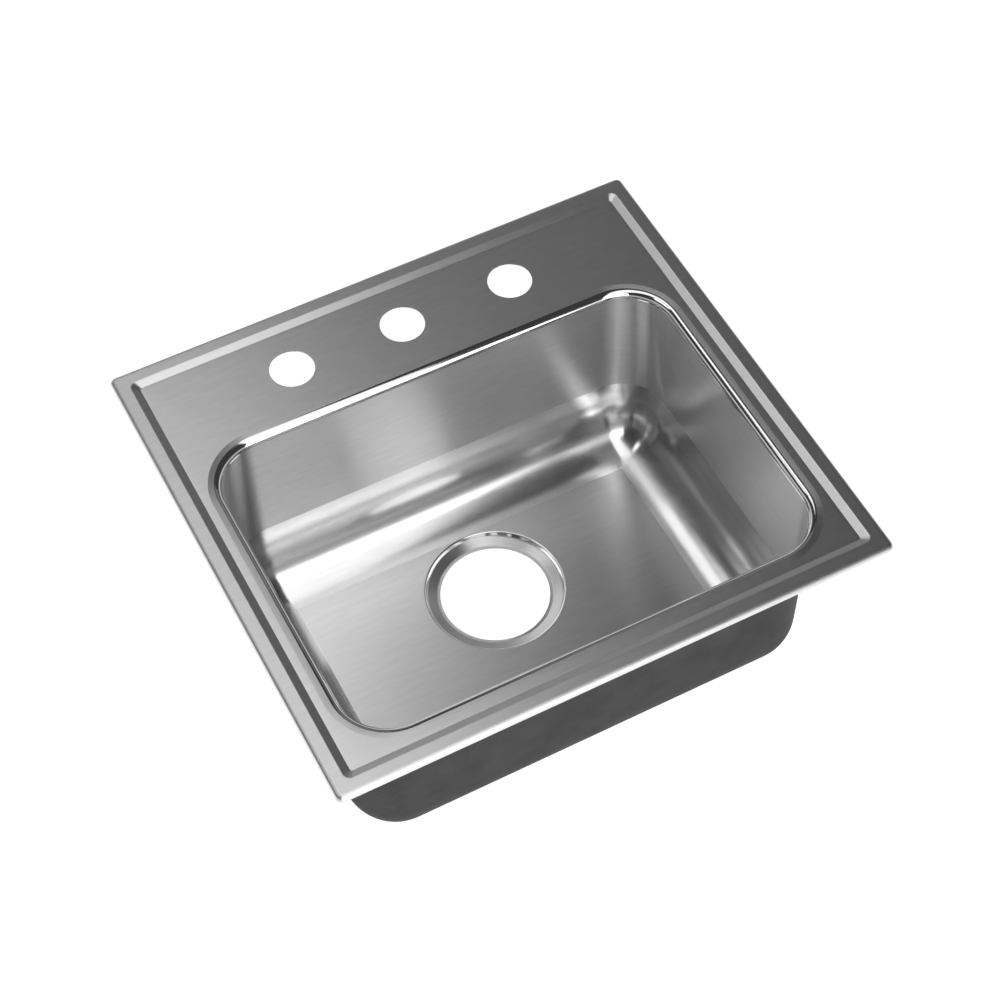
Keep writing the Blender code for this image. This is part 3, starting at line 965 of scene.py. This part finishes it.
# Each lamp's name, place in metres, turn in degrees, size across and up in metres, and watts. The long
# one overhead draws the bright bands on deck, coves and floor, the square one lights the left of the
# deck, the one standing in front lights the back wall, and the last keeps the right from going black.
LIGHTS = (
    ("long_key", (0.02, -0.66, 2.3), (0, 0, 8), (1.2, 4.9), 21),
    ("left_key", (-1.75, 0.75, 2.3), (0, 0, 8), (1.3, 1.3), 8),
    ("front_wall", (-0.25, -3.0, 1.75), (90, 0, 0), (2.9, 3.0), 56),
    ("right_fill", (1.75, 2.5, 2.3), (0, 0, 8), (2.2, 1.7), 1.6),
)


class SINK_OT_stage(Operator):
    """Sets the pale floor, the studio lights and the camera"""

    bl_idname = "sink.stage"
    bl_label = "Stage"

    def execute(self, context):
        scene = context.scene
        scene.view_settings.view_transform = "Standard"
        gap, reach = 0.2, 9000
        low = (CAD_BOX[0][2] - gap * MM) / MM
        work = bmesh.new()
        work.faces.new(add_loop(work, [
            (-reach, -reach, low), (reach, -reach, low), (reach, reach, low), (-reach, reach, low),
        ]))
        # Matt white paint: flat and glossless, and a little self-lit so that it stays even and pale.
        paint, _, shader = principled("matt_white_paint", linear("#F2F2F2"), 0.0, 0.9)
        shader.inputs["Emission Color"].default_value = (1, 1, 1, 1)
        shader.inputs["Emission Strength"].default_value = 0.85
        floor = to_object(work, "floor", [paint])

        world = bpy.data.worlds.new("studio")
        world.use_nodes = True
        scene.world = world
        # The studio is pale low down and dark above, so that the sides show and the top keeps contrast.
        tree = world.node_tree
        tree.nodes["Background"].inputs["Color"].default_value = (1, 1, 1, 1)
        look = add_node(tree, "ShaderNodeTexCoord")
        way = add_node(tree, "ShaderNodeSeparateXYZ", i0=look.outputs["Generated"])
        fade = add_node(tree, "ShaderNodeMapRange", {
            "interpolation_type": "SMOOTHSTEP", "From Min": 0.12, "From Max": 0.42,
            "To Min": 0.65, "To Max": 0.04,
        }, Value=way.outputs[2])
        tree.links.new(fade.outputs[0], tree.nodes["Background"].inputs["Strength"])

        for name, place, turn, size, watts in LIGHTS:
            lamp = bpy.data.lights.new(name, "AREA")
            lamp.shape = "RECTANGLE"
            lamp.size, lamp.size_y = size
            lamp.energy = watts
            made = bpy.data.objects.new(name, lamp)
            made.location = place
            made.rotation_euler = [math.radians(angle) for angle in turn]
            scene.collection.objects.link(made)

        azimuth, elevation, roll = (math.radians(angle) for angle in (-26.53, 54.53, -1.18))
        aim, distance = Vector((-0.0113, -0.0366, 0.0025)), 1.899
        level = math.cos(elevation)
        back = Vector((math.sin(azimuth) * level, -math.cos(azimuth) * level, math.sin(elevation)))
        data = bpy.data.cameras.new("camera")
        data.lens, data.sensor_width = 86.12, 36.0
        camera = bpy.data.objects.new("camera", data)
        turn = (-back).to_track_quat("-Z", "Y").to_matrix() @ Matrix.Rotation(roll, 3, "Z")
        camera.matrix_world = Matrix.Translation(aim + back * distance) @ turn.to_4x4()
        scene.collection.objects.link(camera)
        scene.camera = camera
        return {"FINISHED"}


class SINK_PT_panel(Panel):
    """Lists the sink's pieces in the order they are made"""

    bl_idname = "SINK_PT_panel"
    bl_label = "Sink"
    bl_space_type = "VIEW_3D"
    bl_region_type = "UI"
    bl_category = "Sink"

    def draw(self, context):
        for operator in PIECES:
            self.layout.operator(operator.bl_idname)
        for name, group in SETTINGS.items():
            for key in group.__annotations__:
                self.layout.prop(getattr(context.scene, name), key)


PIECES = (
    SINK_OT_shell, SINK_OT_coat, SINK_OT_rails, SINK_OT_bolts,
    SINK_OT_nuts, SINK_OT_washers, SINK_OT_clamps, SINK_OT_stage,
)
SETTINGS = {"sink_sizes": SinkSizes, "fixing_sizes": FixingSizes, "sink_colours": SinkColours}
CLASSES = (*SETTINGS.values(), *PIECES, SINK_PT_panel)


def register():
    """Registers the classes and hangs the settings on the scene."""
    for kind in CLASSES:
        bpy.utils.register_class(kind)
    for name, group in SETTINGS.items():
        setattr(bpy.types.Scene, name, PointerProperty(type=group))


def unregister():
    """Undoes register."""
    for name in SETTINGS:
        delattr(bpy.types.Scene, name)
    for kind in reversed(CLASSES):
        bpy.utils.unregister_class(kind)


def main():
    """Makes every piece in order."""
    register()
    for operator in PIECES:
        family, name = operator.bl_idname.split(".")
        getattr(getattr(bpy.ops, family), name)()


if __name__ == "__main__":
    main()
